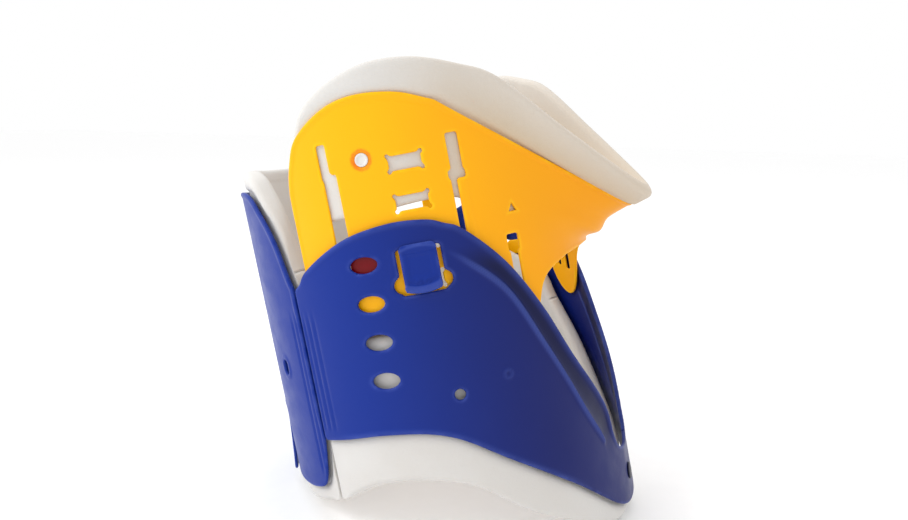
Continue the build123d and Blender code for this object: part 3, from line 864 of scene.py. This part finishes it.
def fabric(name, colour, tip, scale, deep, fuzz):
    """Closure fabric, drawn as a field of tiny hooks or loops."""
    n = Nodes(name)
    tufts = n.cells(scale)
    tone = n.mix(n.spread(tufts, 0.05, 0.6), tip, colour)
    tone = n.mix(n.maths("MULTIPLY", n.spread(n.noise(70.0, 4.0), 0.35, 0.7), 0.4), tone, colour)
    skin = n.bump(tufts, deep, 0.9)
    skin = n.bump(n.noise(scale * 0.35, 5.0), deep * 1.5, 0.5, skin)
    rough = n.spread(n.noise(120.0, 3.0), 0.3, 0.7, 0.78, 0.95)
    return n.finish(Base_Color=tone, Roughness=rough, Normal=skin, Specular_IOR_Level=0.25, Sheen_Weight=fuzz,
                    Sheen_Roughness=0.4)


# The blue's last colour is the paler blue of painted light.
BLUE = plastic("blue_polyethylene", rgb(14, 26, 96), rgb(12, 22, 88), rgb(78, 98, 180), 0.38,
               painted_light=rgb(4, 42, 136))
# The yellow's last colour is the deeper orange of painted shade.
YELLOW = plastic("yellow_polyethylene", rgb(252, 180, 0), rgb(250, 171, 0), rgb(255, 214, 20), 0.40, 0.05,
                 warm_shade=rgb(230, 140, 4))
# The foam's last colour is the beige of painted shade.
WHITE_FOAM = foam("white_foam", rgb(212, 209, 205), rgb(205, 200, 194), rgb(196, 170, 132))
RED = plastic("red_print", rgb(116, 0, 10), rgb(100, 0, 6), rgb(140, 30, 34), 0.34)
PLUG = plastic("white_plug", rgb(222, 218, 214), rgb(210, 205, 200), rgb(236, 232, 228), 0.40, 0.05)
DARK = plastic("dark_plastic", rgb(24, 28, 50), rgb(18, 20, 36), rgb(70, 74, 100), 0.38)
LOOP = fabric("loop_tape", rgb(20, 20, 24), rgb(44, 44, 50), 1400.0, 0.0004, 0.5)
HOOK = fabric("hook_tape", rgb(16, 16, 18), rgb(58, 58, 64), 900.0, 0.0003, 0.15)


# ---------------------------------------------------------------- the pieces
def dress(piece, material, slot, body, *nodes):
    """Gives a piece its material, hides the CAD parts that it stands for and attaches it to the body it moves
    with.
    """
    piece.data.materials.clear()
    piece.data.materials.append(material)
    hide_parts(*nodes)
    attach(piece, body)
    return piece


def make_size_dot(sign, step):
    name = side_name(sign) + "_size_dot_print"
    return patch(name, sign * WINDOW_A, WINDOW_TOP, DOT_R, DOT_R, DOT_R, CHIN_R + 0.02, 0.3, 0.12, step)


def make_rivet(name, angle, heights, start, shank_deep, radius, tall):
    profile = head_profile(radius, tall, 2.0, shank_deep)
    return joined(name, [turned(name, angle, z, start, profile) for z in heights])


def make_chin_plugs():
    """White plugs pressed into the chin piece, each with a raised rim and a dimple."""
    profile = [(2.85, -1.35), (2.85, -0.45), (2.7, -0.2), (2.4, -0.12), (2.1, -0.2), (1.8, -0.5),
               (0.9, -0.62)]
    plugs = [turned("plug", sign * CHIN_RIVET[0], CHIN_RIVET[1], CHIN_R, profile) for sign in (-1, 1)]
    return joined("chin_plugs", plugs)


def make_hook_patch(step):
    half_x = math.radians(HOOK_HALF_A) * SHELL_R
    return patch("hook_patch_tape", HOOK_A, STRAP_Z, half_x, HOOK_HALF_Z, 3.0, SHELL_R, 0.6, 0.25, step)


def make_loop_strap(step):
    """The closing strap: loop tape riveted on the left of the back half, its free end on the hook patch."""
    half_z = STRAP_W / 2
    low, high = STRAP_Z - half_z - 2, STRAP_Z + half_z + 2
    a, z = wall_grid(STRAP_TIP_A - 1, STRAP_END_A + 1, low, high, step)
    middle = (STRAP_TIP_A + STRAP_END_A) / 2
    half = (STRAP_END_A - STRAP_TIP_A) / 2 * ARC
    inside = rounded_box((a - middle) * ARC, z - STRAP_Z, half, half_z, 2.0)
    tip = rounded_box((a - STRAP_TIP_A) * ARC - 40, z - STRAP_Z, 40, half_z, 8.0)
    inside = np.minimum(inside, np.where(a < STRAP_TIP_A + 20, tip, inside))
    settle = step_up(a, 136.5, 139.5)
    stitch = rounded_box((a - middle) * ARC, z - STRAP_Z, half - 2.4, half_z - 2.4, 6.0)
    puff = 0.12 - 0.35 * ridge(stitch, 0.5)
    thick = STRAP_T + settle * 0.5 + puff
    start = STRAP_R - settle * 0.85
    points = round_points(a, z, start + thick / 2)
    return panel("loop_strap_tape", points, inside, thick, 0.55)


step = 0.8
fine = 0.5

dress(make_front_shell(step), BLUE, "shell_blue", "front_body", "front_shell")
dress(make_rear_shell(step), BLUE, "shell_blue", "rear_body", "rear_shell")
for side, sign in (("right", -1), ("left", 1)):
    dress(make_latch(sign, fine), BLUE, "shell_blue", side + "_latch_body", side + "_latch")
    dress(make_size_dot(sign, fine), RED, "dot_red", "chin_body", side + "_size_dot")
dress(make_chin_piece(step), YELLOW, "chin_yellow", "chin_body", "chin_piece")
dress(make_chin_plugs(), PLUG, "plug_white", "chin_body", "chin_rivets")
pads = [dress(make_chin_foam(step * 1.5), WHITE_FOAM, "foam_white", "chin_body", "chin_foam"),
        dress(make_front_foam(step * 1.5), WHITE_FOAM, "foam_white", "front_body", "front_foam"),
        dress(make_rear_foam(step * 1.5), WHITE_FOAM, "foam_white", "rear_body", "rear_foam")]
dress(make_rivet("front_rivet_head", 0, (FRONT_RIVET_Z,), SHELL_R, SHELL_T, 4.0, 1.0), DARK,
      "rivet_dark", "front_body", "front_rivet")
dress(make_rivet("strap_rivet_heads", STRAP_RIVET_A, STRAP_RIVET_Z, STRAP_R + STRAP_T, 4.0, 4.2, 1.0), DARK,
      "rivet_dark", "rear_body", "strap_rivets")
dress(make_loop_strap(fine * 1.6), LOOP, "strap_black", "rear_body", "loop_strap")
dress(make_hook_patch(fine * 1.6), HOOK, "hook_black", "front_body", "hook_patch")

# ---------------------------------------------------------------- studio
bpy.ops.mesh.primitive_plane_add(size=12, location=(0, 0, -0.0001))
floor = bpy.context.object
floor.name = "studio_floor"
paper = Nodes("studio_paper")
fibres = paper.noise(90.0, 5.0)
tone = paper.mix(paper.spread(fibres, 0.3, 0.7), (0.998, 0.998, 0.998, 1), (0.985, 0.985, 0.985, 1))
floor.data.materials.append(paper.finish(Base_Color=tone, Roughness=0.9, Specular_IOR_Level=0.1))

# A white room all round; the lamps only add a soft light from the upper left.
world = bpy.data.worlds.new("studio")
bpy.context.scene.world = world
world.use_nodes = True
background = world.node_tree.nodes["Background"]
background.inputs["Color"].default_value = (1.0, 1.0, 1.0, 1)
background.inputs["Strength"].default_value = 1.0

# The camera looks from the wearer's right, a little to the front, from just above the collar.
AZIMUTH, ELEVATION, ROLL = math.radians(-70), math.radians(10), math.radians(1.3)
level = math.cos(ELEVATION)
back = Vector((math.sin(AZIMUTH) * level, -math.cos(AZIMUTH) * level, math.sin(ELEVATION)))
right = Vector((math.cos(AZIMUTH), math.sin(AZIMUTH), 0))
above = back.cross(right)
c, s = math.cos(ROLL), math.sin(ROLL)
right, above = right * c + above * s, above * c - right * s


def lamp(name, side, rise, near, size, power, colour):
    """A soft square light, placed by how far it stands to the side of, above and in front of the collar."""
    data = bpy.data.lights.new(name, "AREA")
    data.size = size
    data.energy = power
    data.color = colour
    light = bpy.data.objects.new(name, data)
    light.location = Vector(FOOT) + right * side + above * rise + back * near
    light.rotation_mode = "QUATERNION"
    light.rotation_quaternion = (light.location - Vector(FOOT)).to_track_quat("Z", "Y")
    bpy.context.collection.objects.link(light)


lamp("key", -1.1, 0.75, 0.35, 0.7, 8.0, (0.95, 0.98, 1.0))
lamp("top", -0.1, 1.3, -0.3, 0.9, 4.0, (1.0, 1.0, 1.0))

camera = bpy.data.objects.new("camera", bpy.data.cameras.new("camera"))
camera.data.lens = 31.7
camera.data.sensor_width = 36.0
camera.data.shift_x = 0.0308
camera.data.clip_start = 0.01
spot = Vector(FOOT) + back * 0.410
camera.matrix_world = Matrix(((right.x, above.x, back.x, spot.x), (right.y, above.y, back.y, spot.y),
                              (right.z, above.z, back.z, spot.z), (0, 0, 0, 1)))
bpy.context.collection.objects.link(camera)
bpy.context.scene.camera = camera
bpy.context.scene.view_settings.view_transform = "Standard"
